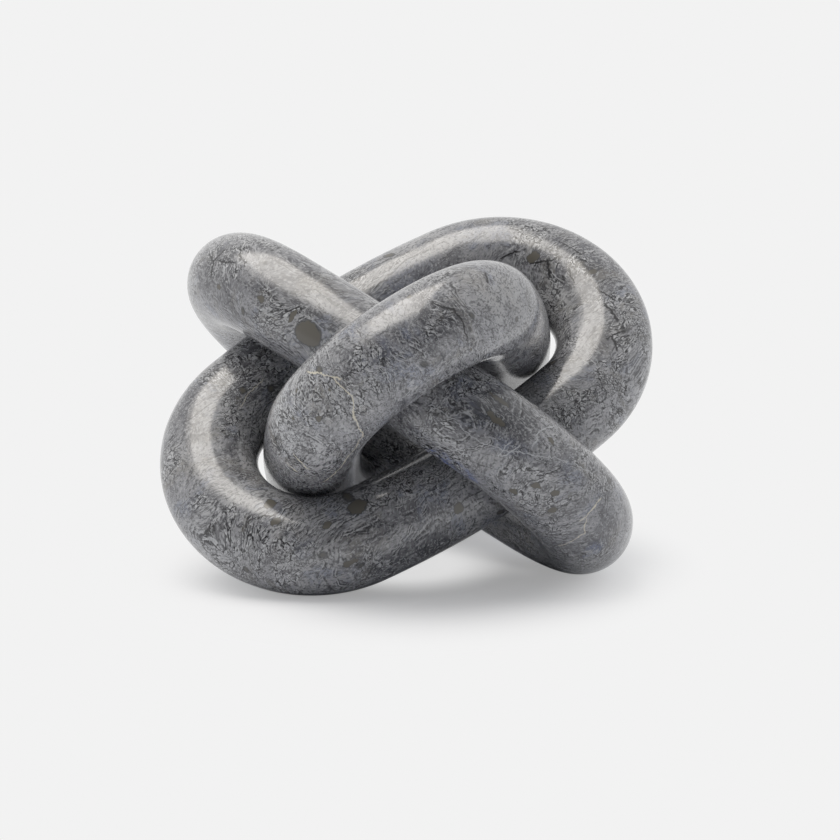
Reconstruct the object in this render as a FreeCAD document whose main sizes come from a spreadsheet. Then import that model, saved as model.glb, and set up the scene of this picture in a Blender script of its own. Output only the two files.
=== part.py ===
import FreeCAD, Part
import math
import os
import Sketcher

# Knot sculpture: three equal oval links of round section, carved from marble.
# Each link is threaded through the next one, right round the circle of three. No two of them
# are linked with each other, yet the three can't be taken apart.
# Millimetres. The origin is on the floor, under the middle of the knot. +Z is up, and the
# upper end of the front link leans out towards -Y.

doc = FreeCAD.newDocument("knot_sculpture")

# Driving sizes
# tube_diameter: thickness of the round section, the same all the way round each link
# link_gap: least gap that is left where one link passes another
# end_slit: gap between the inside of a link's end and the side of the link that passes it
# side_bow: how far a long side of the oval bows out past the arcs of its two ends
# lean_angle: how far a link's length rises from the floor
# roll_angle: how far a link is rolled about its own length
# foot_flat_depth: how much is ground off under each link, so that the knot stands still
DRIVING_SIZES = {
    "tube_diameter": 38.0,
    "link_gap": 0.2,
    "end_slit": 3.4,
    "side_bow": 3.4,
    "lean_angle": 24.7,
    "roll_angle": 34.9,
    "foot_flat_depth": 0.4,
}

# Each link is the one before it, turned a third of a turn about the upright axis.
# The value is the direction in which its upper end points, in degrees from +X.
LINK_HEADINGS = {"front_link": -90.0, "right_link": 30.0, "left_link": 150.0}

# The half width of the ovals is the least at which the links clear each other. It is searched
# for between these shares of the tube's diameter, in this many halvings.
HALF_WIDTH_SEARCH_SHARES = (0.8, 3.0)
HALVING_COUNT = 26

# How far a volume may be from the one worked out by hand
VOLUME_ERROR_SHARE = 0.001

# The indexes by which a sketch's constraints name the points of an arc, its own origin and axes
START_INDEX, END_INDEX, MIDDLE_INDEX = 1, 2, 3
ORIGIN_INDEXES = (-1, 1)
FIRST_AXIS_INDEX, SECOND_AXIS_INDEX = -1, -2

# A link's oval, seen square on, in terms of the sizes
END_CENTRE = "Sizes.tube_diameter + Sizes.end_slit + Sizes.side_bow"
END_RADIUS = "Sizes.half_width - Sizes.side_bow"

# Height of the knot's middle. The lowest point of a leaning link is on the arc of its lower end.
RISE_ALONG = "sin(Sizes.lean_angle)"
RISE_ACROSS = "cos(Sizes.lean_angle) * sin(Sizes.roll_angle)"
MIDDLE_HEIGHT = (
    f"({END_CENTRE}) * {RISE_ALONG}"
    f" + ({END_RADIUS}) * sqrt(({RISE_ALONG}) ^ 2 + ({RISE_ACROSS}) ^ 2)"
    " + Sizes.tube_diameter / 2 - Sizes.foot_flat_depth"
)


def make_sheet():
    """Spreadsheet of the driving sizes, and of the half width that is fitted to them later."""
    sheet = doc.addObject("Spreadsheet::Sheet", "Sizes")
    sizes = dict(DRIVING_SIZES, half_width=DRIVING_SIZES["tube_diameter"])
    for row, (name, value) in enumerate(sizes.items(), start=1):
        sheet.set(f"A{row}", name)
        sheet.set(f"B{row}", str(value))
        sheet.setAlias(f"B{row}", name)
    doc.recompute()
    return sheet


def sketch_on(body, name, plane_role):
    """Empty sketch on one of the body's own origin planes."""
    sketch = body.newObject("Sketcher::SketchObject", f"{body.Name}_{name}")
    plane = next(item for item in body.Origin.OriginFeatures if item.Role == plane_role)
    sketch.AttachmentSupport = [(plane, "")]
    sketch.MapMode = "FlatFace"
    return sketch


def bind(sketch, name, constraint, expression):
    """Adds a dimension to the sketch and binds it to the sizes."""
    sketch.renameConstraint(sketch.addConstraint(constraint), name)
    sketch.setExpression(f"Constraints.{name}", expression)


def circle(x, y, radius):
    return Part.Circle(FreeCAD.Vector(x, y, 0), FreeCAD.Vector(0, 0, 1), radius)


def draw_oval(body):
    """Centreline of a link: two end arcs and two flatter side arcs, each tangent to the next.

    One side is halved where it meets the width's axis, because the section is drawn there.
    The sizes here only start the sketch off. Its constraints bind it to the sheet.
    """
    half_width = DRIVING_SIZES["tube_diameter"]
    bow = DRIVING_SIZES["side_bow"]
    centre = half_width + DRIVING_SIZES["end_slit"] + bow
    end_radius = half_width - bow
    side_radius = (centre**2 + half_width**2 - end_radius**2) / (2 * bow)
    depth = side_radius - half_width
    joint = math.atan2(depth, centre)
    top = math.pi / 2
    left = math.pi
    near_side = circle(0, -depth, side_radius)
    far_side = circle(0, depth, side_radius)
    left_arc = circle(-centre, 0, end_radius)
    right_arc = circle(centre, 0, end_radius)

    sketch = sketch_on(body, "oval", "XY_Plane")
    ring = sketch.addGeometry(
        [
            Part.ArcOfCircle(near_side, top, left - joint),
            Part.ArcOfCircle(left_arc, left - joint, left + joint),
            Part.ArcOfCircle(far_side, left + joint, 2 * left - joint),
            Part.ArcOfCircle(right_arc, -joint, joint),
            Part.ArcOfCircle(near_side, joint, top),
        ]
    )
    first_half, left_end, other_side, right_end, last_half = ring
    for one, following in zip(ring, ring[1:]):
        sketch.addConstraint(Sketcher.Constraint("Tangent", one, END_INDEX, following, START_INDEX))
    seam = (first_half, START_INDEX)
    left_middle = (left_end, MIDDLE_INDEX)
    right_middle = (right_end, MIDDLE_INDEX)
    sketch.addConstraint(
        [
            Sketcher.Constraint("Coincident", last_half, END_INDEX, *seam),
            Sketcher.Constraint("Coincident", last_half, MIDDLE_INDEX, first_half, MIDDLE_INDEX),
            Sketcher.Constraint("PointOnObject", *seam, SECOND_AXIS_INDEX),
            Sketcher.Constraint("PointOnObject", *right_middle, FIRST_AXIS_INDEX),
            Sketcher.Constraint("Symmetric", *left_middle, *right_middle, *ORIGIN_INDEXES),
            Sketcher.Constraint("Equal", left_end, right_end),
            Sketcher.Constraint("Equal", first_half, other_side),
        ]
    )
    across = Sketcher.Constraint("DistanceY", *ORIGIN_INDEXES, *seam, half_width)
    along = Sketcher.Constraint("DistanceX", *ORIGIN_INDEXES, *right_middle, centre)
    rounding = Sketcher.Constraint("Radius", right_end, end_radius)
    bind(sketch, "half_width", across, "Sizes.half_width")
    bind(sketch, "end_centre", along, END_CENTRE)
    bind(sketch, "end_radius", rounding, END_RADIUS)
    return sketch


def draw_section(body):
    """Round section of a link, square to the oval in the middle of one side."""
    diameter = DRIVING_SIZES["tube_diameter"]
    sketch = sketch_on(body, "section", "YZ_Plane")
    section = sketch.addGeometry(circle(diameter, 0, diameter / 2))
    middle = (section, MIDDLE_INDEX)
    sketch.addConstraint(Sketcher.Constraint("PointOnObject", *middle, FIRST_AXIS_INDEX))
    across = Sketcher.Constraint("DistanceX", *ORIGIN_INDEXES, *middle, diameter)
    thickness = Sketcher.Constraint("Diameter", section, diameter)
    bind(sketch, "half_width", across, "Sizes.half_width")
    bind(sketch, "tube_diameter", thickness, "Sizes.tube_diameter")
    return sketch


def make_body(name, heading):
    """Body of one link, rolled about its length, leaned and turned to its heading."""
    body = doc.addObject("PartDesign::Body", f"{name}_body")
    body.setExpression(
        "Placement",
        f"create(<<placement>>; create(<<vector>>; 0; 0; {MIDDLE_HEIGHT});"
        f" create(<<rotation>>; {heading}; -Sizes.lean_angle; Sizes.roll_angle))",
    )
    return body


def centreline(body, oval):
    """The link's centreline where it lies in the knot."""
    line = oval.Shape.copy()
    line.Placement = body.Placement.multiply(line.Placement)
    return line


def fit_half_width(sheet, links):
    """Sets the least half width at which neighbouring links clear each other.

    Two links of round section clear each other when their centrelines pass at one tube
    diameter and the gap. Narrower ovals would bite into each other, wider ones would rattle.
    """
    wanted = sheet.tube_diameter + sheet.link_gap
    cell = sheet.getCellFromAlias("half_width")
    low, high = (share * sheet.tube_diameter for share in HALF_WIDTH_SEARCH_SHARES)
    for _ in range(HALVING_COUNT):
        half_width = (low + high) / 2
        sheet.set(cell, str(half_width))
        doc.recompute()
        one, following = [centreline(*link) for link in links[:2]]
        if one.distToShape(following)[0] < wanted:
            low = half_width
        else:
            high = half_width


def make_tube(body, oval):
    """The round section swept once round the oval."""
    tube = body.newObject("PartDesign::AdditivePipe", f"{body.Name}_tube")
    tube.Profile = draw_section(body)
    tube.Spine = oval
    return tube


def make_grinding_plate(sheet):
    """Block under the floor: what of the links dips into it is ground off them."""
    plate = doc.addObject("Part::Box", "grinding_plate")
    reach = f"2 * (Sizes.half_width + {END_CENTRE})"
    plate.setExpression("Length", reach)
    plate.setExpression("Width", reach)
    plate.setExpression("Height", "Sizes.tube_diameter")
    plate.setExpression("Placement.Base.x", f"-({reach}) / 2")
    plate.setExpression("Placement.Base.y", f"-({reach}) / 2")
    plate.setExpression("Placement.Base.z", "-Sizes.tube_diameter")
    return plate


def make_link(name, body, plate):
    """The finished link: its body with the small flat that it stands on."""
    link = doc.addObject("Part::Cut", name)
    link.Label = name
    link.Base = body
    link.Tool = plate
    return link


def feet_of(link):
    """The plane faces of the link: one, the flat that it stands on."""
    return [face for face in link.Shape.Faces if isinstance(face.Surface, Part.Plane)]


def check_link(link, body, oval, sheet):
    """Stops with a plain message if a link isn't the whole, round, ground tube that it should be."""
    for item in [link, *body.Group, body]:
        if "Invalid" in item.State or "Error" in item.State:
            raise RuntimeError(f"{item.Name} failed: {item.State}")
    if link.Shape.isNull() or not link.Shape.isValid() or len(link.Shape.Solids) != 1:
        raise RuntimeError(f"{link.Label} isn't one valid solid")
    section_area = math.pi * sheet.tube_diameter**2 / 4
    expected = section_area * oval.Shape.Length
    if abs(body.Shape.Volume / expected - 1) > VOLUME_ERROR_SHARE:
        raise RuntimeError(f"{link.Label} has the volume {body.Shape.Volume}, not {expected}")
    if len(feet_of(link)) != 1:
        raise RuntimeError(f"{link.Label} doesn't stand on one flat foot")


sheet = make_sheet()
bodies = {name: make_body(name, heading) for name, heading in LINK_HEADINGS.items()}
ovals = {name: draw_oval(body) for name, body in bodies.items()}
doc.recompute()
fit_half_width(sheet, [(bodies[name], ovals[name]) for name in LINK_HEADINGS])
for name, body in bodies.items():
    make_tube(body, ovals[name])
plate = make_grinding_plate(sheet)
links = {name: make_link(name, body, plate) for name, body in bodies.items()}
doc.recompute()

os.makedirs("parts", exist_ok=True)
for name, link in links.items():
    check_link(link, bodies[name], ovals[name], sheet)
for link in links.values():
    link.Shape.exportStep(f"parts/{link.Label}.step")
    (foot,) = feet_of(link)
    at = foot.CenterOfMass
    print(f"{link.Label}: {link.Shape.Volume:.0f} mm3, foot {foot.Area:.1f} mm2 at {at.x:.2f}, {at.y:.2f}")

around = list(links.values())
for one, following in zip(around, around[1:] + around[:1]):
    gap = one.Shape.distToShape(following.Shape)[0]
    print(f"{one.Label} to {following.Label}: least gap {gap:.3f} mm")
print(f"half width {sheet.half_width:.3f} mm")
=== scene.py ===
import math
from collections import namedtuple

import bpy
from mathutils import Euler, Matrix, Vector


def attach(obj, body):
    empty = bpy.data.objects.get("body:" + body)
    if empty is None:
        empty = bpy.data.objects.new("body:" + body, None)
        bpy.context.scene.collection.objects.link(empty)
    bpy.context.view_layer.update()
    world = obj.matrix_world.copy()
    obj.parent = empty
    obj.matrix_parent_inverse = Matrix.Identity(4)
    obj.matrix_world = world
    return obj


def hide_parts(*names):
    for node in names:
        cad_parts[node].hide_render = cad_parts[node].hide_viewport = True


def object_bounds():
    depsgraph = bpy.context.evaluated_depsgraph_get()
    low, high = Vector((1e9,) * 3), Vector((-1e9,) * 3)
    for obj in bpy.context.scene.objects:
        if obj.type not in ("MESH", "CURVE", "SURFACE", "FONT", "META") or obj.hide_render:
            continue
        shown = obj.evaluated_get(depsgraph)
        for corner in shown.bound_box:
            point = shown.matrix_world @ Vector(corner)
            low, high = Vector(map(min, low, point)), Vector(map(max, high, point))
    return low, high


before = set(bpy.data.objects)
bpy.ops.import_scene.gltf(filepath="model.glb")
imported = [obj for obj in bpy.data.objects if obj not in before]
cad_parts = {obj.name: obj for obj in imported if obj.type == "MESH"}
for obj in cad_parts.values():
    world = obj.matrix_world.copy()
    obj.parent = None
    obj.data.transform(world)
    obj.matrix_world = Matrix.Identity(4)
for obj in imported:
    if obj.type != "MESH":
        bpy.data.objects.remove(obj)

# Knot sculpture: three oval links of polished grey marble, each threaded through the next.
# Sizes are in millimetres in this script and in metres in Blender.
MM = 0.001
CAD_BOX = [list(corner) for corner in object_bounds()]

# How each link lies: its length rises from the floor by the lean, is rolled about itself by
# the roll, and its upper end points along the heading
LEAN_ANGLE = 24.7
ROLL_ANGLE = 34.9
LINK_HEADINGS = {"front_link": -90.0, "right_link": 30.0, "left_link": 150.0}
FOOT_FLAT_DEPTH = 0.4
KNOT_MIDDLE = Vector((0, 0, (CAD_BOX[1][2] / MM - FOOT_FLAT_DEPTH) / 2))

# How far the oval's side arcs bow out past its end arcs
SIDE_BOW = 3.4

# The links' meshes: points along the oval, points round the section
PATH_POINTS = 720
SECTION_POINTS = 96

# Polishing by hand leaves soft hollows in the round section: how deep and how far across
HOLLOW_DEPTH = 0.16
HOLLOW_SIZE = 22.0

# Stone that was stirred while it was soft: sizes of the swirls and how far each carries the
# grain, then the same for the beds, which lie straighter, for the lines between thin beds, and
# for the jags of cracks and rims
SWIRLS = ((38.0, 30.0), (9.0, 3.6))
BED_SWIRLS = ((44.0, 14.0), (9.0, 3.0))
FLOW_SWIRLS = ((32.0, 24.0), (11.0, 7.0), (4.5, 2.6), (1.6, 0.8))
JAGS = ((7.0, 2.2), (2.3, 1.8), (0.9, 0.7))

# Middle level of a noise, and the octaves of the noises that stir and hollow the stone
NOISE_MIDDLE = 0.5
SOFT_OCTAVES = 1.0

# The links are cut from one block of stone, this far from each other
BLOCK_STEP = 270.0

# The stone's ground colour, and its polish
STONE_COLOUR = "#8d8e93"
STONE_ROUGHNESS = 0.15
STONE_IOR = 1.65

# The stone's clouds, then its finer grain: its name, its pattern, what it follows, its length
# along the bedding and width across it, the level of the pattern that it gathers round, how far
# from that level it starts and how near it is full, how much of its colour it then has, and the
# colour. Grains with the same pattern and size share it, so that one edges the other.
Grain = namedtuple("Grain", "name pattern follows length width level start full share colour")
CLOUDS = (
    Grain("dark cloud", "noise", "stone", 48, 28, 0.0, 0.51, 0.36, 0.8, "#4b4c53"),
    Grain("pale cloud", "noise", "stone", 42, 24, 1.0, 0.51, 0.36, 0.8, "#a2a3a6"),
    Grain("blue drift", "noise", "stone", 44, 14, 1.0, 0.46, 0.36, 0.4, "#68738d"),
    Grain("dun drift", "noise", "stone", 40, 14, 1.0, 0.46, 0.36, 0.45, "#77736b"),
)
GRAINS = (
    Grain("dark wisp", "noise", "stone", 16, 7, 0.0, 0.5, 0.38, 0.5, "#4b4b50"),
    Grain("pale wisp", "noise", "stone", 14, 6, 1.0, 0.5, 0.38, 0.4, "#a2a3a7"),
    Grain("dark bed", "noise", "beds", 90, 6, 0.5, 0.02, 0.004, 0.75, "#38383d"),
    Grain("pale bed", "noise", "beds", 90, 5, 0.5, 0.012, 0.002, 0.7, "#b2b4b8"),
    Grain("dun shard", "cells", "churned", 12, 6, 1.0, 0.13, 0.12, 0.5, "#5b584f"),
    Grain("dark shard", "cells", "churned", 5, 2.2, 1.0, 0.16, 0.15, 0.55, "#35353a"),
    Grain("pale shard", "cells", "churned", 5, 2.2, 0.0, 0.16, 0.15, 0.4, "#a8a9ad"),
    Grain("dark flow", "lines", "flows", 1, 1.8, 0.4, 0.2, 0.08, 0.75, "#2e2e32"),
    Grain("pale flow", "lines", "flows", 1, 1.8, 0.8, 0.14, 0.05, 0.6, "#b4b6ba"),
    Grain("dark seam", "lines", "flows", 1, 5, 0.5, 0.07, 0.03, 0.9, "#242428"),
    Grain("pale seam", "lines", "flows", 1, 5, 0.6, 0.045, 0.015, 0.8, "#bcbec2"),
    Grain("dark crack", "edges", "cracks", 5, 2.3, 0.0, 0.12, 0.05, 1.0, "#1f1f22"),
    Grain("pale rim", "edges", "cracks", 5, 2.3, 0.19, 0.08, 0.03, 0.85, "#c0c2c6"),
    Grain("dark thread", "noise", "churned", 7, 2.6, 0.5, 0.018, 0.006, 0.85, "#26262a"),
    Grain("pale thread", "noise", "churned", 6, 2.2, 0.5, 0.015, 0.004, 0.8, "#bcbec2"),
    Grain("dark grit", "noise", "stone", 1.5, 1, 0.0, 0.48, 0.38, 0.7, "#47484d"),
    Grain("pale grit", "noise", "stone", 1.3, 0.9, 1.0, 0.46, 0.37, 0.52, "#b0b2b5"),
)

# The grains' octaves of noise, and how far each pattern is turned, in radians, and moved from the
# one before it, so that no two lie alike
GRAIN_OCTAVES = 4.0
GRAIN_TURN = 0.6
GRAIN_SHIFT = 26.0

# Blender draws this many lines in a length of tau at a wave's scale of 1. The scale below draws
# one line to each width of the grain.
WAVE_LINES_PER_TAU = 20
WAVE_SCALE = math.tau / WAVE_LINES_PER_TAU

# Zones where the stone was churned, where its thin beds part, and where lines are whole: their
# size, the noise levels at their rim and inside them, and the share of the grain left outside
CHURNED_ZONES = (26.0, 0.46, 0.57, 0.12)
PARTED_ZONES = (30.0, 0.45, 0.54, 0.0)
WHOLE_ZONES = (3.8, 0.44, 0.54, 0.0)

# Churned, parted and calm places that show from the front, in the link's own frame: the middle
# of each, how far it reaches, and what it adds to the noises that make those two zones
Place = namedtuple("Place", "middle reach churned parted")
PLACES = {
    "front_link": (
        Place((86, -42, 5), 20, 0.06, 0.12),
        Place((65, -53, -10), 18, 0.06, 0.12),
        Place((80, -35, -17), 12, 0.1, 0.05),
        Place((100, 2, 11), 18, -0.3, -0.3),
        Place((88, 40, -6), 22, -0.25, -0.2),
        Place((95, 16, -15), 16, -0.2, -0.1),
    ),
    "right_link": (
        Place((76, 24, 19), 13, 0.12, 0),
        Place((81, 7, 17), 10, 0.1, 0.1),
        Place((86, -27, 17), 13, 0.15, 0),
        Place((53, -57, 12), 18, 0.08, 0.08),
        Place((-97, -9, 12), 18, 0.08, 0.1),
        Place((-58, 23, 12), 14, 0.08, 0.1),
        Place((-55, -56, 5), 28, -0.15, 0.2),
        Place((-15, -58, 10), 22, -0.1, 0.15),
        Place((61, 37, 19), 18, -0.3, -0.3),
        Place((36, 46, 17), 20, -0.3, -0.3),
        Place((-74, 37, 18), 13, -0.3, -0.3),
        Place((-82, 18, 19), 11, -0.3, -0.3),
        Place((-85, 0, 19), 11, -0.3, -0.3),
        Place((-82, -14, 19), 8, -0.2, -0.2),
        Place((77, -7, 17), 8, -0.3, -0.3),
        Place((73, -22, 19), 9, -0.3, -0.3),
        Place((66, -35, 19), 9, -0.3, -0.3),
        Place((52, -42.5, 19), 8, -0.3, -0.3),
    ),
    "left_link": (
        Place((71, 54, -1), 13, 0.15, 0.1),
        Place((37, 49.5, 17.5), 9, 0.12, 0.12),
        Place((34, 60, -8), 14, 0.1, 0.12),
        Place((-88, 31, -15), 14, 0.1, 0.1),
        Place((-74, 46, -12), 14, 0.1, 0.1),
        Place((-43, 54, -15), 10, 0.1, 0.1),
        Place((74, 28.5, -19), 14, -0.2, -0.2),
        Place((57, 58, 5), 12, -0.3, -0.3),
        Place((39, 60, 5), 13, -0.3, -0.3),
        Place((20, 61, 5), 13, -0.3, -0.3),
        Place((-53, 59, -1), 14, -0.2, 0.15),
        Place((-75.5, 51, 5), 12, -0.2, 0.1),
        Place((-103, 13, 3), 16, -0.25, -0.1),
    ),
}

# Within this share of its reach a place counts in full
PLACE_CORE_SHARE = 0.5

# Clouds that show from the front, in the link's own frame, and on the right link a few patches of
# painted highlight and painted shade: the middle of each, its half length along the bedding and
# half width, how much of its colour it has, and the colour
PlacedTone = namedtuple("PlacedTone", "middle half_length half_width share colour")
PLACED_CLOUDS_AND_PAINTED_LIGHT = {
    "front_link": (
        PlacedTone((102, 17, -4.5), 14, 13, 0.9, "#33333a"),
        PlacedTone((104, -7, 0), 9, 8, 0.5, "#53545d"),
        PlacedTone((85, 42, -8), 20, 16, 0.75, "#a6a6a7"),
        PlacedTone((55, 42, -18), 14, 10, 0.5, "#9a9a9c"),
        PlacedTone((90, -39, -3.5), 11, 9, 0.4, "#77736a"),
        PlacedTone((88, -37, 10), 10, 9, 0.4, "#5b5c62"),
        PlacedTone((68, -49, -12), 20, 16, 0.85, "#b4b5b8"),
        PlacedTone((74, 37, -18), 16, 10, 0.6, "#a8a9ac"),
        PlacedTone((98, -24, 5), 12, 10, 0.55, "#58595f"),
        PlacedTone((59, -53, -12.5), 15, 13, 0.65, "#a3a3a6"),
    ),
    "right_link": (
        PlacedTone((-53, 34, 18), 17, 8, 0.6, "#3a3a40"),
        # Blue-grey stone, darkened with painted shade on the side below the softbox's highlight
        PlacedTone((26, 38, 18), 24, 8, 0.6, "#565c70"),
        PlacedTone((47, 34, 17.5), 10, 8, 0.5, "#4d4d55"),
        PlacedTone((70.5, 13, 14.5), 8, 8, 0.4, "#9092a0"),
        PlacedTone((-67.5, -48.5, 14), 18, 5, 0.6, "#9a9b9e"),
        PlacedTone((-32, -57.5, 12), 14, 9, 0.5, "#4a4a52"),
        PlacedTone((52, -56, 11), 18, 12, 0.8, "#a8a8ad"),
        PlacedTone((-81, 30, 18), 12, 9, 0.5, "#5a5b61"),
        PlacedTone((-100, -14, 8), 18, 24, 0.8, "#a8a9ad"),
        # Painted shade: darkens the underside of the bottom strand, over the shadowed floor
        PlacedTone((-41, -60, -3), 30, 16, 0.95, "#4b4c51"),
        PlacedTone((36, -48, 17), 10, 9, 0.45, "#55565c"),
        # Painted highlight: pale patch that carries the softbox's streak further in on the left
        # loop
        PlacedTone((-68, 8, 11), 15, 12, 0.75, "#b2b2b4"),
        # Painted highlight: pale patch that carries the softbox's streak further in on the right
        # loop
        PlacedTone((70, -2, 11), 12, 14, 0.75, "#b0b0b2"),
    ),
    "left_link": (
        PlacedTone((-57, 56, 8), 24, 13, 0.95, "#3a3b42"),
        PlacedTone((-68, 54, -3), 22, 5, 0.55, "#667089"),
        PlacedTone((-88, 40, 4), 12, 7, 0.5, "#6b748b"),
        PlacedTone((-48, 44, -19), 20, 6, 0.95, "#5068a8"),
        PlacedTone((-100, 8, -11.5), 14, 6, 0.6, "#56658a"),
        PlacedTone((-69, 47, -14), 20, 9, 0.6, "#a2a3a7"),
        PlacedTone((79, 46, -5), 17, 16, 0.95, "#38383e"),
        PlacedTone((66, 55, -6), 11, 9, 0.5, "#484950"),
        PlacedTone((57, 58, 1.5), 10, 5, 0.5, "#54555b"),
        PlacedTone((28, 59.5, -9.5), 12, 9, 0.3, "#8e9096"),
    ),
}

# What frays the rims of the placed clouds and of the painted highlight and shade, and the share of
# its size within which each is full
CLOUD_SWIRLS = ((12.0, 8.0), (4.0, 3.0))
CLOUD_CORE_SHARE = 0.3

# Pebbles caught in the stone: size of the cells that may hold one, the part of the cells that
# do, and how large a pebble may be in its cell. Then how deep in a pebble its dark skin and its
# own colour are full, in shares of its size, and how much of the skin's colour it has.
PEBBLE_CELL = 9.0
PEBBLE_PART = 0.36
PEBBLE_REACH_SHARE = 0.36
PEBBLE_SKIN_DEPTH = 0.07
PEBBLE_CORE_DEPTH = 0.21
PEBBLE_COLOUR = "#5d5a53"
SKIN_COLOUR = "#36373a"
SKIN_COLOUR_SHARE = 0.8

# Cream veins, dark cracks and pale threads that show from the front, in the link's own frame: a
# point on each, the way it faces, how far it reaches, and its half width
Vein = namedtuple("Vein", "middle facing reach half_width")
CREAM_VEINS = {
    "front_link": (
        Vein((94, -30.5, 6.5), (-0.25, -1, -0.85), 10, 0.36),
        Vein((97, -27.5, -2.5), (-0.55, -1, -0.1), 6, 0.36),
        Vein((93, -28.5, -10.5), (0, -1, 0.65), 6, 0.36),
        Vein((84.5, -30, -16), (-0.15, -1, 0.25), 7, 0.36),
        Vein((70.5, -35, -19), (0.5, -1, 0.2), 12, 0.36),
        Vein((54, -44, -18.5), (0.65, -1, 0.25), 11, 0.36),
        Vein((64, -53.5, -10), (-1, -1, 0.95), 6, 0.32),
        Vein((56.5, -57, -8), (-1, -0.55, 0.65), 3.5, 0.32),
    ),
    "right_link": (
        Vein((-52, 30.5, 17), (0.35, -1, -0.55), 9, 0.16),
    ),
    "left_link": (
        Vein((-95.5, 18, -13), (-0.55, -1, 0.2), 7, 0.3),
        Vein((-98, 26.5, -1), (-0.5, -1, -0.1), 7, 0.32),
        Vein((-98.5, 23, -7), (-0.7, -0.55, 1), 4, 0.3),
    ),
}
DARK_CRACKS = {
    "front_link": (
        Vein((101, 20, 1), (0.4, -1, -0.8), 5, 0.6),
        Vein((99.5, 22.5, -3.5), (0.3, -1, -0.45), 4.5, 0.6),
        Vein((97, 22, -10), (0.5, -1, 0.1), 5, 0.45),
        Vein((87, 41, 4.5), (0.65, -1, 0.95), 3.5, 0.6),
    ),
    "right_link": (
        Vein((84.5, -16.5, 18.5), (-1, -0.25, 0.1), 6, 0.55),
        Vein((80.5, -25.5, 18.5), (-1, 0.05, 0.15), 5, 0.7),
        Vein((75.5, -34.5, 18), (0, -1, -0.2), 5, 0.6),
        Vein((73, -37.5, 18), (-1, 0.35, 0.3), 4, 0.6),
        Vein((77, 11.5, 17.5), (-0.55, -1, -0.35), 7, 0.6),
        Vein((76, 8.5, 17), (-1, 0.6, -0.4), 5, 0.6),
        Vein((79.5, -1, 18), (-1, 0.35, -0.35), 4, 0.5),
        Vein((87.5, 10.5, 18.5), (-1, -0.3, 0.2), 7, 0.4),
        Vein((68, 23, 17), (-0.25, -1, -0.45), 5, 0.5),
    ),
    "left_link": (
        Vein((83.5, 45, -2), (0.25, -0.3, -1), 4, 0.6),
        Vein((79, 47.5, -6), (1, -1, -0.65), 4.5, 0.75),
        Vein((79.5, 48, 0), (-1, 0.7, -0.65), 3.5, 0.75),
        Vein((73.5, 51, -1.5), (-0.25, 0, -1), 6, 0.5),
    ),
}
PALE_THREADS = {
    "front_link": (),
    "right_link": (),
    "left_link": (
        Vein((-38.5, 60, -6.5), (0, -0.4, -1), 7, 0.2),
        Vein((-52, 58, -7), (0.1, -0.4, -1), 8, 0.2),
        Vein((-64, 55.5, -5.5), (-0.2, -0.4, -1), 7, 0.22),
        Vein((-73.5, 52, -1), (-0.5, -0.35, -1), 7, 0.2),
        Vein((-81, 46.5, 4.5), (-0.6, -0.15, -1), 7, 0.2),
        Vein((-88.5, 37.5, 8.5), (-0.6, 0.1, -1), 8, 0.18),
        Vein((-35, 51, -17), (-0.25, -1, -0.5), 8, 0.2),
        Vein((-49, 52.5, -14.5), (-0.15, -1, -0.75), 8, 0.2),
        Vein((-66.5, 55, -4.5), (-1, -0.4, 0), 4, 0.3),
        Vein((-69, 54, -3.5), (-1, -0.55, -0.4), 4, 0.3),
        Vein((-73, 51.5, 5.5), (-1, -0.65, 0.25), 5, 0.3),
        Vein((-72, 48.5, 11), (-1, -0.3, -0.3), 6, 0.28),
    ),
}
VEIN_COLOUR = "#c9c4b5"
THREAD_COLOUR = "#b2b5ba"
DARK_CRACK_COLOUR = "#1e1e20"

# Shares of its half width and of its reach within which a vein is whole
VEIN_CORE_SHARE = 0.3
VEIN_END_SHARE = 0.8

# Pebbles and dark lenses that show from the front, in the link's own frame: the middle of each,
# and its half length along the bedding, and half width
Pebble = namedtuple("Pebble", "middle half_length half_width")
PEBBLES = {
    "front_link": (
        Pebble((84.5, -41, 9), 1.3, 1.0),
        Pebble((88, -41, -5), 1.5, 1.3),
        Pebble((80, -48, 2), 1.2, 1.0),
        Pebble((95, -32, 0), 2.6, 0.7),
        Pebble((92, 20, -16.5), 1.8, 0.6),
        Pebble((98, 12, 12), 9, 1.1),
    ),
    "right_link": (
        Pebble((-78, -18, 18.6), 2.8, 2.4),
        Pebble((87, -5, 19), 2.2, 1.5),
        Pebble((74, 16, 17.5), 3.2, 2.0),
        Pebble((-81, -26, 18.5), 2.6, 1.6),
        Pebble((-67, -39, 18.5), 2.4, 1.3),
        Pebble((-53, -39.5, 19), 4.5, 3.4),
        Pebble((-66, -53, 9), 8, 1.3),
        Pebble((-20, -59, 11), 2.6, 2.2),
    ),
    "left_link": (
        Pebble((24.5, 60, -9.2), 6.8, 5.2),
        Pebble((34, 60, -6.5), 1.1, 3.0),
        Pebble((71, 49.5, -11), 1.6, 1.4),
        Pebble((50, 58, -7), 2.0, 1.6),
        Pebble((-52.5, 56, 10), 7.5, 1.1),
        Pebble((-57.5, 58, 3), 5.5, 1.6),
        Pebble((-77, 47.5, 9), 4.0, 1.2),
        Pebble((-81.5, 45, -8), 2.2, 1.6),
        Pebble((-87.6, 40.7, -5.8), 2.4, 1.7),
        Pebble((-75, 44, -14), 2.2, 1.2),
        Pebble((-89, 35.5, -10.5), 2.4, 1.6),
    ),
}

# Relief that the polish leaves between soft and hard grains
RELIEF_DEPTH = 0.006
RELIEF_SIZE = 2.2

# Camera: where the photograph was taken from, and how far to the right of and below the
# knot's middle its axis passes
CAMERA_AZIMUTH = 1.56
CAMERA_ELEVATION = 11.17
CAMERA_DISTANCE = 2200.3
CAMERA_LENS = 242.9
SENSOR_WIDTH = 36
AIM_RIGHT = 4.7
AIM_DOWN = 6.7

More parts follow.
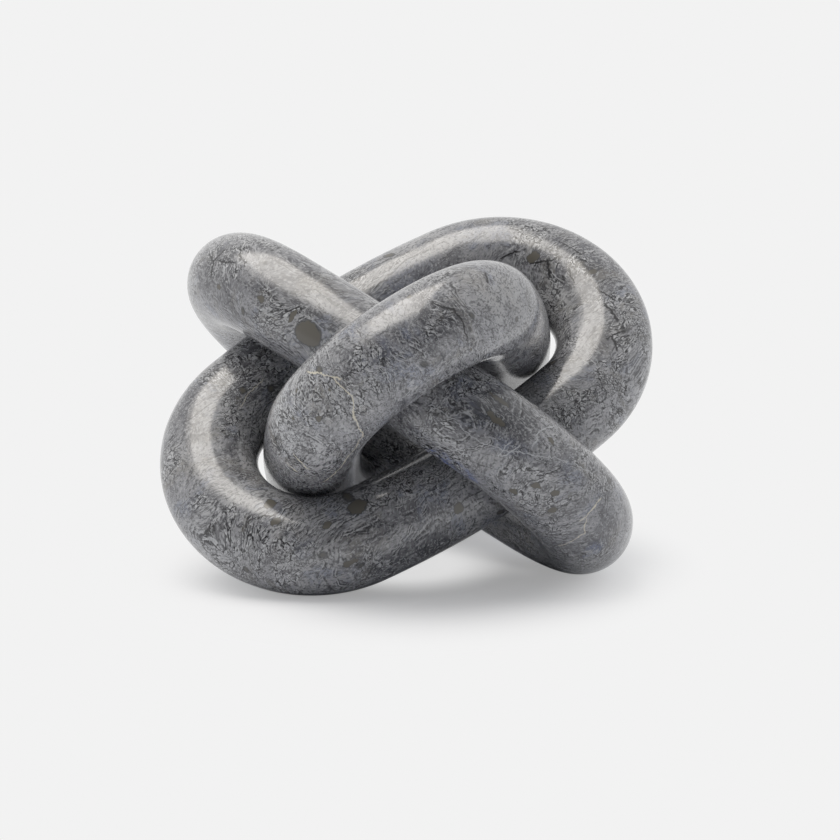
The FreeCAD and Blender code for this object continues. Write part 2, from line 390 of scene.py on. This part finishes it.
# Softbox, brightest in its middle: two panels over the knot, each with its rise in metres, its
# edges in shares of the rise, and its radiance
Panel = namedtuple("Panel", "rise left right front back radiance")
SOFTBOX_PANELS = (
    Panel(2.6, -0.72, 0.02, -0.36, 0.5, 2.7),
    Panel(2.62, -0.98, 0.05, -0.48, 0.62, 1.55),
)
SOFTBOX_COLOUR = "#fffaf2"

# The background, and the board under the knot: its own colour, and half of its side, in metres
BACKGROUND_COLOUR = "#f2f2f2"
BOARD_COLOUR = "#edeff4"
FLOOR_REACH = 20

# The board glows like the background, but takes the shadow round the knot's middle: how far from
# there, in metres, the glow starts and is whole, and how wide that oval is for its depth
SHADOW_REACH = (0.07, 0.15)
SHADOW_WIDTH_SHARE = 0.79

# The camera sees some of the glow in the shadow too: how far from the middle, in metres, the
# first of these shares starts to turn into the second, and where it has
UNDER_KNOT_REACH = (0.02, 0.055)
FLOOR_GLOWS = (0.75, 0.35)

# In reflections the board dims to this level, between these distances in front of the knot
FRONT_FADE_REACH = (0.6, 1.8)
FRONT_FADE_LEVEL = 0.45

# The surroundings, by how far a direction points back and up: pale behind the second depth, and
# before the first a dim room, with these levels at these heights
ROOM_DEPTHS = (-0.85, -0.1)
ROOM_HEIGHTS = (0.0, 0.5)
ROOM_LEVELS = (0.45, 0.12)

# The light that the knot takes from its surroundings: its levels at these heights, and how much
# it gains to the right
LIGHT_HEIGHTS = (0.0, 0.7)
LIGHT_LEVELS = (1.12, 0.43)
RIGHT_LIGHT = 0.35


def add(tree, kind, inputs=(), **settings):
    """Adds a node. An input is named or numbered, and takes a value, a node or a socket."""
    made = tree.nodes.new(kind)
    for name, value in settings.items():
        setattr(made, name, value)
    for key, value in dict(inputs).items():
        named = [socket for socket in made.inputs if socket.enabled and socket.name == key]
        target = named[0] if named else made.inputs[key]
        if isinstance(value, bpy.types.Node):
            value = next(socket for socket in value.outputs if socket.enabled)
        if isinstance(value, bpy.types.NodeSocket):
            tree.links.new(value, target)
        else:
            target.default_value = value
    return made


def linear(code):
    """Linear colour of an sRGB hex code, opaque."""
    shares = [int(code[place:place + 2], 16) / 255 for place in (1, 3, 5)]
    return (*[c / 12.92 if c <= 0.04045 else ((c + 0.055) / 1.055) ** 2.4 for c in shares], 1)


def link_turn(heading):
    """How a link is turned from lying flat with its length along X."""
    return Euler([math.radians(angle) for angle in (ROLL_ANGLE, -LEAN_ANGLE, heading)])


def measure_links():
    """Half length, half width and tube radius of the links, in mm, read from a CAD node."""
    name, heading = next(iter(LINK_HEADINGS.items()))
    into_link = link_turn(heading).to_matrix().transposed()
    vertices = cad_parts[name].data.vertices
    points = [into_link @ (vertex.co / MM - KNOT_MIDDLE) for vertex in vertices]
    length_reach, width_reach, tube_radius = [
        max(abs(point[axis]) for point in points) for axis in range(3)
    ]
    return length_reach - tube_radius, width_reach - tube_radius, tube_radius


def oval_sizes():
    """The tree's inputs that shape the oval: an end arc, then a side arc tangent to it, then the
    same two again on the other side of the middle."""
    half_length, half_width, tube_radius = measure_links()
    end_radius = half_width - SIDE_BOW
    end_centre = half_length - end_radius
    side_radius = (end_centre**2 + half_width**2 - end_radius**2) / (2 * SIDE_BOW)
    side_centre = half_width - side_radius
    joint_angle = math.atan2(-side_centre, end_centre)
    end_run = 2 * joint_angle * end_radius
    return {
        "End Centre": end_centre,
        "End Radius": end_radius,
        "End Run": end_run,
        "Side Centre": side_centre,
        "Side Radius": side_radius,
        "Half Run": end_run + (math.pi - 2 * joint_angle) * side_radius,
        "Joint Angle": joint_angle,
        "Tube Radius": tube_radius,
    }


def link_tree(sizes):
    """Geometry nodes that carve a link: the oval's arcs, the round section swept round them,
    soft hollows, the link's place in the knot, and the foot's flat."""
    tree = bpy.data.node_groups.new("carved link", "GeometryNodeTree")
    kinds = {name: "NodeSocketFloat" for name in (*sizes, "Hollow Depth", "Hollow Size", "Seed")}
    kinds |= {name: "NodeSocketInt" for name in ("Path Points", "Section Points")}
    kinds |= {"Turn": "NodeSocketRotation", "Middle": "NodeSocketVector"}
    kinds |= {"Lowest": "NodeSocketVector", "Material": "NodeSocketMaterial"}
    for name, kind in kinds.items():
        tree.interface.new_socket(name, in_out="INPUT", socket_type=kind)
    tree.interface.new_socket("Link", in_out="OUTPUT", socket_type="NodeSocketGeometry")
    given = add(tree, "NodeGroupInput").outputs

    # How far along half of the oval each point is, and which half it is on
    index = add(tree, "GeometryNodeInputIndex")
    share = add(tree, "ShaderNodeMath", {0: index, 1: given["Path Points"]}, operation="DIVIDE")
    halves = add(tree, "ShaderNodeMath", {0: share, 1: 2}, operation="MULTIPLY")
    far_half = add(tree, "ShaderNodeMath", {0: halves}, operation="FLOOR")
    of_half = add(tree, "ShaderNodeMath", {0: halves}, operation="FRACT")
    run = add(tree, "ShaderNodeMath", {0: of_half, 1: given["Half Run"]}, operation="MULTIPLY")

    # The arc that it is on: its centre, its radius and the angle along it
    on_end = add(tree, "ShaderNodeMath", {0: run, 1: given["End Run"]}, operation="LESS_THAN")
    radius = add(
        tree, "ShaderNodeMix",
        {"Factor": on_end, "A": given["Side Radius"], "B": given["End Radius"]},
    )
    centre_x = add(tree, "ShaderNodeMix", {"Factor": on_end, "A": 0.0, "B": given["End Centre"]})
    centre_y = add(tree, "ShaderNodeMix", {"Factor": on_end, "A": given["Side Centre"], "B": 0.0})
    before = add(tree, "ShaderNodeMix", {"Factor": on_end, "A": given["End Run"], "B": 0.0})
    past = add(tree, "ShaderNodeMath", {0: run, 1: before}, operation="SUBTRACT")
    turned = add(tree, "ShaderNodeMath", {0: past, 1: radius}, operation="DIVIDE")
    behind = add(tree, "ShaderNodeMath", {0: given["Joint Angle"], 1: -1}, operation="MULTIPLY")
    start = add(tree, "ShaderNodeMix", {"Factor": on_end, "A": given["Joint Angle"], "B": behind})
    angle = add(tree, "ShaderNodeMath", {0: turned, 1: start}, operation="ADD")
    cosine = add(tree, "ShaderNodeMath", {0: angle}, operation="COSINE")
    sine = add(tree, "ShaderNodeMath", {0: angle}, operation="SINE")
    x = add(tree, "ShaderNodeMath", {0: cosine, 1: radius, 2: centre_x}, operation="MULTIPLY_ADD")
    y = add(tree, "ShaderNodeMath", {0: sine, 1: radius, 2: centre_y}, operation="MULTIPLY_ADD")
    point = add(tree, "ShaderNodeCombineXYZ", {"X": x, "Y": y})
    side = add(tree, "ShaderNodeMath", {0: far_half, 1: -2, 2: 1}, operation="MULTIPLY_ADD")
    place = add(tree, "ShaderNodeVectorMath", {0: point, "Scale": side}, operation="SCALE")

    ring = add(tree, "GeometryNodeCurvePrimitiveCircle", {"Resolution": given["Path Points"]})
    oval = add(tree, "GeometryNodeSetPosition", {"Geometry": ring, "Position": place})
    section = add(
        tree, "GeometryNodeCurvePrimitiveCircle",
        {"Resolution": given["Section Points"], "Radius": given["Tube Radius"]},
    )
    tube = add(tree, "GeometryNodeCurveToMesh", {"Curve": oval, "Profile Curve": section})

    # Soft hollows, inwards only, so that the link never grows
    spacing = add(tree, "ShaderNodeMath", {0: 1, 1: given["Hollow Size"]}, operation="DIVIDE")
    here = add(tree, "GeometryNodeInputPosition")
    noise = add(
        tree, "ShaderNodeTexNoise",
        {"Vector": here, "W": given["Seed"], "Scale": spacing, "Detail": SOFT_OCTAVES},
        noise_dimensions="4D",
    )
    outwards = add(tree, "ShaderNodeMath", {0: given["Hollow Depth"], 1: -1}, operation="MULTIPLY")
    depth = add(tree, "ShaderNodeMath", {0: noise, 1: outwards}, operation="MULTIPLY")
    normal = add(tree, "GeometryNodeInputNormal")
    inward = add(tree, "ShaderNodeVectorMath", {0: normal, "Scale": depth}, operation="SCALE")
    hollowed = add(tree, "GeometryNodeSetPosition", {"Geometry": tube, "Offset": inward})

    # Its place in the knot, the foot ground flat on the floor, and then from mm to metres
    placed = add(
        tree, "GeometryNodeTransform",
        {"Geometry": hollowed, "Translation": given["Middle"], "Rotation": given["Turn"]},
    )
    above = add(tree, "ShaderNodeVectorMath", {0: here, 1: given["Lowest"]}, operation="MAXIMUM")
    ground = add(tree, "GeometryNodeSetPosition", {"Geometry": placed, "Position": above})
    metres = add(tree, "GeometryNodeTransform", {"Geometry": ground, "Scale": (MM, MM, MM)})
    smooth = add(tree, "GeometryNodeSetShadeSmooth", {"Geometry": metres})
    whole = add(tree, "GeometryNodeRealizeInstances", {"Geometry": smooth})
    painted = add(
        tree, "GeometryNodeSetMaterial", {"Geometry": whole, "Material": given["Material"]},
    )
    add(tree, "NodeGroupOutput", {"Link": painted})
    return tree


def carve(name, tree, given):
    """One link's finished mesh, made by the geometry nodes and kept as a plain mesh."""
    maker = bpy.data.objects.new(f"{name}_maker", bpy.data.meshes.new(name))
    bpy.context.scene.collection.objects.link(maker)
    modifier = maker.modifiers.new("carve", "NODES")
    modifier.node_group = tree
    for item in tree.interface.items_tree:
        if item.in_out == "INPUT":
            modifier[item.identifier] = given[item.name]
    evaluated = maker.evaluated_get(bpy.context.evaluated_depsgraph_get())
    mesh = bpy.data.meshes.new_from_object(evaluated)
    mesh.name = name
    maker.modifiers.remove(modifier)
    bpy.data.objects.remove(maker)
    piece = bpy.data.objects.new(f"carved_{name}", mesh)
    bpy.context.scene.collection.objects.link(piece)
    return piece


def carry(tree, place, swirls):
    """Moves a pattern's places about, by noises of the given sizes and reaches."""
    for size, reach in swirls:
        noise = add(
            tree, "ShaderNodeTexNoise",
            {"Vector": place, "Scale": 1 / size, "Detail": SOFT_OCTAVES},
        )
        level = add(
            tree, "ShaderNodeVectorMath", {0: noise.outputs["Color"], 1: [NOISE_MIDDLE] * 3},
            operation="SUBTRACT",
        )
        place = add(
            tree, "ShaderNodeVectorMath", {0: level, 1: [reach] * 3, 2: place},
            operation="MULTIPLY_ADD",
        )
    return place


def lay(tree, under, share, code):
    """Lays a colour over what is under it."""
    return add(
        tree, "ShaderNodeMix", {"Factor": share, "A": under, "B": linear(code)}, data_type="RGBA",
    )


def stretch(tree, place, length, width, number):
    """Places for a pattern that is longer along the bedding, turned and moved by its number."""
    turn = GRAIN_TURN * number
    return add(
        tree, "ShaderNodeMapping",
        {"Vector": place, "Location": (number * GRAIN_SHIFT, 0, 0), "Rotation": (0, turn, turn),
         "Scale": (length, width, width)},
        vector_type="TEXTURE",
    )


def distance(tree, place, middle, half_length, half_width):
    """How far each place is from a middle: 1 at the half length and at the half width."""
    centred = add(
        tree, "ShaderNodeMapping",
        {"Vector": place, "Location": middle, "Scale": (half_length, half_width, half_width)},
        vector_type="TEXTURE",
    )
    return add(tree, "ShaderNodeVectorMath", {0: centred}, operation="LENGTH").outputs["Value"]


def push_places(tree, own, places):
    """What the places add to the noises of the churned and of the parted zones."""
    churned = parted = 0.0
    for place in places:
        away = distance(tree, own, place.middle, place.reach, place.reach)
        near = add(
            tree, "ShaderNodeMapRange",
            {"Value": away, "From Min": 1.0, "From Max": PLACE_CORE_SHARE},
            interpolation_type="SMOOTHSTEP",
        )
        churned = add(
            tree, "ShaderNodeMath", {0: near, 1: place.churned, 2: churned},
            operation="MULTIPLY_ADD",
        )
        parted = add(
            tree, "ShaderNodeMath", {0: near, 1: place.parted, 2: parted},
            operation="MULTIPLY_ADD",
        )
    return churned, parted


def zones(tree, place, pushed, size, rim, inner, outside):
    """1 inside the zones, and what is left of the grain outside them."""
    noise = add(tree, "ShaderNodeTexNoise", {"Vector": place, "Scale": 1 / size})
    noise = add(tree, "ShaderNodeMath", {0: noise, 1: pushed}, operation="ADD")
    return add(
        tree, "ShaderNodeMapRange",
        {"Value": noise, "From Min": rim, "From Max": inner, "To Min": outside},
        interpolation_type="SMOOTHSTEP",
    )


def pattern_level(tree, pattern, place):
    """A pattern's level at each place, from 0 to 1."""
    if pattern == "noise":
        return add(
            tree, "ShaderNodeTexNoise", {"Vector": place, "Scale": 1.0, "Detail": GRAIN_OCTAVES},
        )
    if pattern == "lines":
        return add(
            tree, "ShaderNodeTexWave", {"Vector": place, "Scale": WAVE_SCALE},
            bands_direction="Y", wave_profile="SAW",
        ).outputs["Fac"]
    if pattern == "edges":
        return add(
            tree, "ShaderNodeTexVoronoi", {"Vector": place, "Scale": 1.0},
            feature="DISTANCE_TO_EDGE",
        )
    cells = add(tree, "ShaderNodeTexVoronoi", {"Vector": place, "Scale": 1.0})
    return add(tree, "ShaderNodeSeparateColor", {"Color": cells.outputs["Color"]})


def follow(tree, block, pushes):
    """What each sort of grain follows: its places, and the zones that it is dense in."""
    stone = carry(tree, block, SWIRLS)
    jagged = carry(tree, stone, JAGS)
    churned = zones(tree, stone, pushes[0], *CHURNED_ZONES)
    parted = zones(tree, block, pushes[1], *PARTED_ZONES)
    whole = zones(tree, stone, 0.0, *WHOLE_ZONES)
    cracked = add(tree, "ShaderNodeMath", {0: churned, 1: whole}, operation="MULTIPLY")
    flowing = add(tree, "ShaderNodeMath", {0: parted, 1: whole}, operation="MULTIPLY")
    return {
        "stone": (stone, 1.0),
        "beds": (carry(tree, block, BED_SWIRLS), 1.0),
        "flows": (carry(tree, block, FLOW_SWIRLS), flowing),
        "churned": (jagged, churned),
        "cracks": (jagged, cracked),
    }


def lay_grains(tree, followed, grains, under):
    """Lays a table's grains over the colour, in their order. Each pattern is turned away from the
    others, except for the beds and flows, which keep to the bedding."""
    levels = {}
    for grain in grains:
        place, zone = followed[grain.follows]
        key = (grain.pattern, grain.follows, grain.length, grain.width)
        if key not in levels:
            turns = 0 if grain.follows in ("beds", "flows") else len(levels)
            stretched = stretch(tree, place, grain.length, grain.width, turns)
            levels[key] = pattern_level(tree, grain.pattern, stretched)
        apart = add(tree, "ShaderNodeMath", {0: levels[key], 1: grain.level}, operation="SUBTRACT")
        apart = add(tree, "ShaderNodeMath", {0: apart}, operation="ABSOLUTE")
        share = add(
            tree, "ShaderNodeMapRange",
            {"Value": apart, "From Min": grain.start, "From Max": grain.full,
             "To Max": grain.share},
            interpolation_type="SMOOTHSTEP", label=grain.name,
        )
        share = add(tree, "ShaderNodeMath", {0: share, 1: zone}, operation="MULTIPLY")
        under = lay(tree, under, share, grain.colour)
    return under


def lay_clouds_and_painted_light(tree, own, under, clouds):
    """Single clouds, and patches of painted highlight and painted shade, with wispy rims."""
    place = carry(tree, own, CLOUD_SWIRLS)
    for cloud in clouds:
        away = distance(tree, place, cloud.middle, cloud.half_length, cloud.half_width)
        share = add(
            tree, "ShaderNodeMapRange",
            {"Value": away, "From Min": 1.0, "From Max": CLOUD_CORE_SHARE, "To Max": cloud.share},
            interpolation_type="SMOOTHSTEP",
        )
        under = lay(tree, under, share, cloud.colour)
    return under


def lay_pebble(tree, under, inside):
    """A pebble with a dark skin. Inside is how deep in it a place is, in shares of its size."""
    whole = add(
        tree, "ShaderNodeMapRange",
        {"Value": inside, "From Max": PEBBLE_SKIN_DEPTH, "To Max": SKIN_COLOUR_SHARE},
    )
    core = add(
        tree, "ShaderNodeMapRange",
        {"Value": inside, "From Min": PEBBLE_SKIN_DEPTH, "From Max": PEBBLE_CORE_DEPTH},
    )
    return lay(tree, lay(tree, under, whole, SKIN_COLOUR), core, PEBBLE_COLOUR)


def lay_small_pebbles(tree, place, under):
    """Pebbles scattered all through the stone, one to a cell, in some of the cells."""
    cells = add(tree, "ShaderNodeTexVoronoi", {"Vector": place, "Scale": 1 / PEBBLE_CELL})
    drawn = add(tree, "ShaderNodeSeparateColor", {"Color": cells.outputs["Color"]})
    reach = add(
        tree, "ShaderNodeMapRange",
        {"Value": drawn, "From Min": 1 - PEBBLE_PART, "To Max": PEBBLE_REACH_SHARE},
    )
    inside = add(
        tree, "ShaderNodeMath", {0: reach, 1: cells.outputs["Distance"]}, operation="SUBTRACT",
    )
    return lay_pebble(tree, under, inside)


def lay_pebbles(tree, place, under, pebbles):
    """Single pebbles and dark lenses."""
    for pebble in pebbles:
        away = distance(tree, place, pebble.middle, pebble.half_length, pebble.half_width)
        inside = add(tree, "ShaderNodeMath", {0: 1.0, 1: away}, operation="SUBTRACT")
        under = lay_pebble(tree, under, inside)
    return under


def lay_veins(tree, place, under, veins, code):
    """Single veins, each a sheet through the stone that ends at its reach."""
    for vein in veins:
        offset = add(tree, "ShaderNodeVectorMath", {0: place, 1: vein.middle}, operation="SUBTRACT")
        facing = Vector(vein.facing).normalized()
        height = add(tree, "ShaderNodeVectorMath", {0: offset, 1: facing}, operation="DOT_PRODUCT")
        apart = add(
            tree, "ShaderNodeMath", {0: height.outputs["Value"]}, operation="ABSOLUTE",
        )
        sheet = add(
            tree, "ShaderNodeMapRange",
            {"Value": apart, "From Min": vein.half_width,
             "From Max": VEIN_CORE_SHARE * vein.half_width},
        )
        away = add(tree, "ShaderNodeVectorMath", {0: offset}, operation="LENGTH")
        near = add(
            tree, "ShaderNodeMapRange",
            {"Value": away.outputs["Value"], "From Min": vein.reach,
             "From Max": VEIN_END_SHARE * vein.reach},
        )
        share = add(tree, "ShaderNodeMath", {0: sheet, 1: near}, operation="MULTIPLY")
        under = lay(tree, under, share, code)
    return under


def marble(name, heading, number):
    """Polished grey marble. The eye gets blue-grey and dun clouds, swirled wisps, crackle with pale
    rims, flow lines, pebbles, dark cracks, pale threads and a few cream veins, under a sharp
    polish that mirrors the softbox. On the right link some patches are painted highlight and
    painted shade."""
    material = bpy.data.materials.new(f"polished grey marble, {name.replace('_', ' ')}")
    material.use_nodes = True
    tree = material.node_tree
    tree.nodes.clear()
    coordinates = add(tree, "ShaderNodeTexCoord").outputs["Object"]
    own = add(
        tree, "ShaderNodeMapping",
        {"Vector": coordinates, "Location": KNOT_MIDDLE * MM, "Rotation": link_turn(heading),
         "Scale": (MM, MM, MM)},
        vector_type="TEXTURE",
    )
    block = add(
        tree, "ShaderNodeVectorMath", {0: own, 1: (number * BLOCK_STEP, 0, 0)}, operation="ADD",
    )
    swirled = carry(tree, block, SWIRLS)
    jagged = carry(tree, own, JAGS)

    followed = follow(tree, block, push_places(tree, jagged, PLACES[name]))
    colour = lay_grains(tree, followed, CLOUDS, linear(STONE_COLOUR))
    colour = lay_clouds_and_painted_light(tree, own, colour, PLACED_CLOUDS_AND_PAINTED_LIGHT[name])
    colour = lay_grains(tree, followed, GRAINS, colour)
    colour = lay_small_pebbles(tree, swirled, colour)
    colour = lay_pebbles(tree, jagged, colour, PEBBLES[name])
    colour = lay_veins(tree, jagged, colour, DARK_CRACKS[name], DARK_CRACK_COLOUR)
    colour = lay_veins(tree, jagged, colour, PALE_THREADS[name], THREAD_COLOUR)
    colour = lay_veins(tree, jagged, colour, CREAM_VEINS[name], VEIN_COLOUR)

    relief = add(tree, "ShaderNodeTexNoise", {"Vector": swirled, "Scale": 1 / RELIEF_SIZE})
    bump = add(tree, "ShaderNodeBump", {"Height": relief, "Distance": RELIEF_DEPTH * MM})
    shader = add(
        tree, "ShaderNodeBsdfPrincipled",
        {"Base Color": colour, "Roughness": STONE_ROUGHNESS, "IOR": STONE_IOR, "Normal": bump},
    )
    add(tree, "ShaderNodeOutputMaterial", {"Surface": shader})
    return material


def make_links():
    """The three links, each in the place of its CAD node."""
    sizes = oval_sizes()
    tree = link_tree(sizes)
    given = sizes | {
        "Path Points": PATH_POINTS,
        "Section Points": SECTION_POINTS,
        "Hollow Depth": HOLLOW_DEPTH,
        "Hollow Size": HOLLOW_SIZE,
        "Middle": KNOT_MIDDLE,
        "Lowest": Vector(CAD_BOX[0]) / MM,
    }
    for number, (name, heading) in enumerate(LINK_HEADINGS.items()):
        stone = marble(name, heading, number)
        own = {"Seed": float(number), "Turn": link_turn(heading), "Material": stone}
        link = carve(name, tree, given | own)
        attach(link, "root")
        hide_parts(name)


def make_camera():
    """The camera, where the photograph was taken from."""
    azimuth, elevation = math.radians(CAMERA_AZIMUTH), math.radians(CAMERA_ELEVATION)
    back = Vector((
        math.sin(azimuth) * math.cos(elevation),
        -math.cos(azimuth) * math.cos(elevation),
        math.sin(elevation),
    ))
    turn = back.to_track_quat("Z", "Y").to_matrix()
    right, up = turn.col[0], turn.col[1]
    camera = bpy.data.objects.new("camera", bpy.data.cameras.new("camera"))
    camera.data.sensor_width = SENSOR_WIDTH
    camera.data.lens = CAMERA_LENS
    place = KNOT_MIDDLE + right * AIM_RIGHT - up * AIM_DOWN + back * CAMERA_DISTANCE
    camera.matrix_world = Matrix.LocRotScale(place * MM, turn, None)
    bpy.context.scene.collection.objects.link(camera)
    bpy.context.scene.camera = camera


def seen(tree):
    """1 for what the camera and reflections see, 0 for the light that the object receives."""
    path = add(tree, "ShaderNodeLightPath").outputs
    glossy = {0: path["Is Camera Ray"], 1: path["Is Glossy Ray"]}
    both = add(tree, "ShaderNodeMath", glossy, operation="ADD")
    return add(
        tree, "ShaderNodeMath", {0: both, 1: path["Is Transmission Ray"]},
        operation="ADD", use_clamp=True,
    )


def make_floor():
    """Matt white board. It takes the knot's shadow and glows evenly away from it, though less in
    reflections of what lies far in front, where the studio ends. Only the camera sees the glow
    near the knot, so that the stone mirrors the shadow itself."""
    mesh = bpy.data.meshes.new("floor")
    sides = ((-1, -1), (1, -1), (1, 1), (-1, 1))
    corners = [(x * FLOOR_REACH, y * FLOOR_REACH, 0) for x, y in sides]
    mesh.from_pydata(corners, [], [(0, 1, 2, 3)])
    floor = bpy.data.objects.new("floor", mesh)
    bpy.context.scene.collection.objects.link(floor)
    material = bpy.data.materials.new("matt white board")
    material.use_nodes = True
    tree = material.node_tree
    tree.nodes.clear()
    place = add(tree, "ShaderNodeNewGeometry").outputs["Position"]
    oval = add(
        tree, "ShaderNodeVectorMath", {0: place, 1: (1 / SHADOW_WIDTH_SHARE, 1, 1)},
        operation="MULTIPLY",
    )
    away = add(tree, "ShaderNodeVectorMath", {0: oval}, operation="LENGTH").outputs["Value"]
    camera = add(tree, "ShaderNodeLightPath").outputs["Is Camera Ray"]
    least = add(tree, "ShaderNodeMath", {0: camera, 1: FLOOR_GLOWS[1]}, operation="MULTIPLY")
    outside = add(
        tree, "ShaderNodeMapRange",
        {"Value": away, "From Min": SHADOW_REACH[0], "From Max": SHADOW_REACH[1],
         "To Min": least},
        interpolation_type="SMOOTHSTEP",
    )
    under = add(
        tree, "ShaderNodeMapRange",
        {"Value": away, "From Min": UNDER_KNOT_REACH[0], "From Max": UNDER_KNOT_REACH[1],
         "To Min": FLOOR_GLOWS[0], "To Max": FLOOR_GLOWS[1]},
        interpolation_type="SMOOTHSTEP",
    )
    near = add(tree, "ShaderNodeMath", {0: under, 1: camera}, operation="MULTIPLY")
    glow = add(tree, "ShaderNodeMath", {0: outside, 1: near}, operation="MAXIMUM")
    share = add(tree, "ShaderNodeMath", {0: glow, 1: seen(tree)}, operation="MULTIPLY")
    y = add(tree, "ShaderNodeSeparateXYZ", {"Vector": place}).outputs["Y"]
    fade = add(
        tree, "ShaderNodeMapRange",
        {"Value": y, "From Min": -FRONT_FADE_REACH[1], "From Max": -FRONT_FADE_REACH[0],
         "To Min": FRONT_FADE_LEVEL},
        interpolation_type="SMOOTHSTEP",
    )
    level = add(tree, "ShaderNodeMath", {0: fade, 1: camera}, operation="MAXIMUM")
    board = add(tree, "ShaderNodeBsdfDiffuse", {"Color": linear(BOARD_COLOUR)})
    pale = add(
        tree, "ShaderNodeEmission", {"Color": linear(BACKGROUND_COLOUR), "Strength": level},
    )
    both = add(tree, "ShaderNodeMixShader", {0: share, 1: board, 2: pale})
    add(tree, "ShaderNodeOutputMaterial", {"Surface": both})
    mesh.materials.append(material)


def make_softbox():
    """Flat panels overhead, to the left of the knot: the long pale streaks are their reflection."""
    for panel in SOFTBOX_PANELS:
        light = bpy.data.lights.new("softbox", "AREA")
        light.shape = "RECTANGLE"
        light.size = (panel.right - panel.left) * panel.rise
        light.size_y = (panel.back - panel.front) * panel.rise
        light.energy = panel.radiance * math.pi * light.size * light.size_y
        light.color = linear(SOFTBOX_COLOUR)[:3]
        lamp = bpy.data.objects.new("softbox", light)
        lamp.location = (
            (panel.left + panel.right) / 2 * panel.rise,
            (panel.front + panel.back) / 2 * panel.rise,
            KNOT_MIDDLE.z * MM + panel.rise,
        )
        bpy.context.scene.collection.objects.link(lamp)


def make_world():
    """Pale studio behind and beside the knot, dim room in front of it."""
    world = bpy.data.worlds.new("studio")
    world.use_nodes = True
    bpy.context.scene.world = world
    tree = world.node_tree
    tree.nodes.clear()
    direction = add(tree, "ShaderNodeTexCoord").outputs["Generated"]
    apart = add(tree, "ShaderNodeSeparateXYZ", {"Vector": direction}).outputs
    pale = add(
        tree, "ShaderNodeMapRange",
        {"Value": apart["Y"], "From Min": ROOM_DEPTHS[0], "From Max": ROOM_DEPTHS[1]},
        interpolation_type="SMOOTHSTEP",
    )
    room = add(
        tree, "ShaderNodeMapRange",
        {"Value": apart["Z"], "From Min": ROOM_HEIGHTS[0], "From Max": ROOM_HEIGHTS[1],
         "To Min": ROOM_LEVELS[0], "To Max": ROOM_LEVELS[1]},
        interpolation_type="SMOOTHSTEP",
    )
    shown = add(tree, "ShaderNodeMix", {"Factor": pale, "A": room, "B": 1.0})
    light = add(
        tree, "ShaderNodeMapRange",
        {"Value": apart["Z"], "From Min": LIGHT_HEIGHTS[0], "From Max": LIGHT_HEIGHTS[1],
         "To Min": LIGHT_LEVELS[0], "To Max": LIGHT_LEVELS[1]},
        interpolation_type="SMOOTHSTEP",
    )
    right = add(tree, "ShaderNodeMapRange", {"Value": apart["X"], "To Max": RIGHT_LIGHT})
    light = add(tree, "ShaderNodeMath", {0: light, 1: right}, operation="ADD")
    level = add(tree, "ShaderNodeMix", {"Factor": seen(tree), "A": light, "B": 1.0})
    strength = add(tree, "ShaderNodeMath", {0: shown, 1: level}, operation="MULTIPLY")
    camera = add(tree, "ShaderNodeLightPath").outputs["Is Camera Ray"]
    strength = add(tree, "ShaderNodeMath", {0: strength, 1: camera}, operation="MAXIMUM")
    back = add(
        tree, "ShaderNodeBackground", {"Color": linear(BACKGROUND_COLOUR), "Strength": strength},
    )
    add(tree, "ShaderNodeOutputWorld", {"Surface": back})


make_links()
make_camera()
make_floor()
make_softbox()
make_world()
bpy.context.scene.view_settings.view_transform = "Standard"
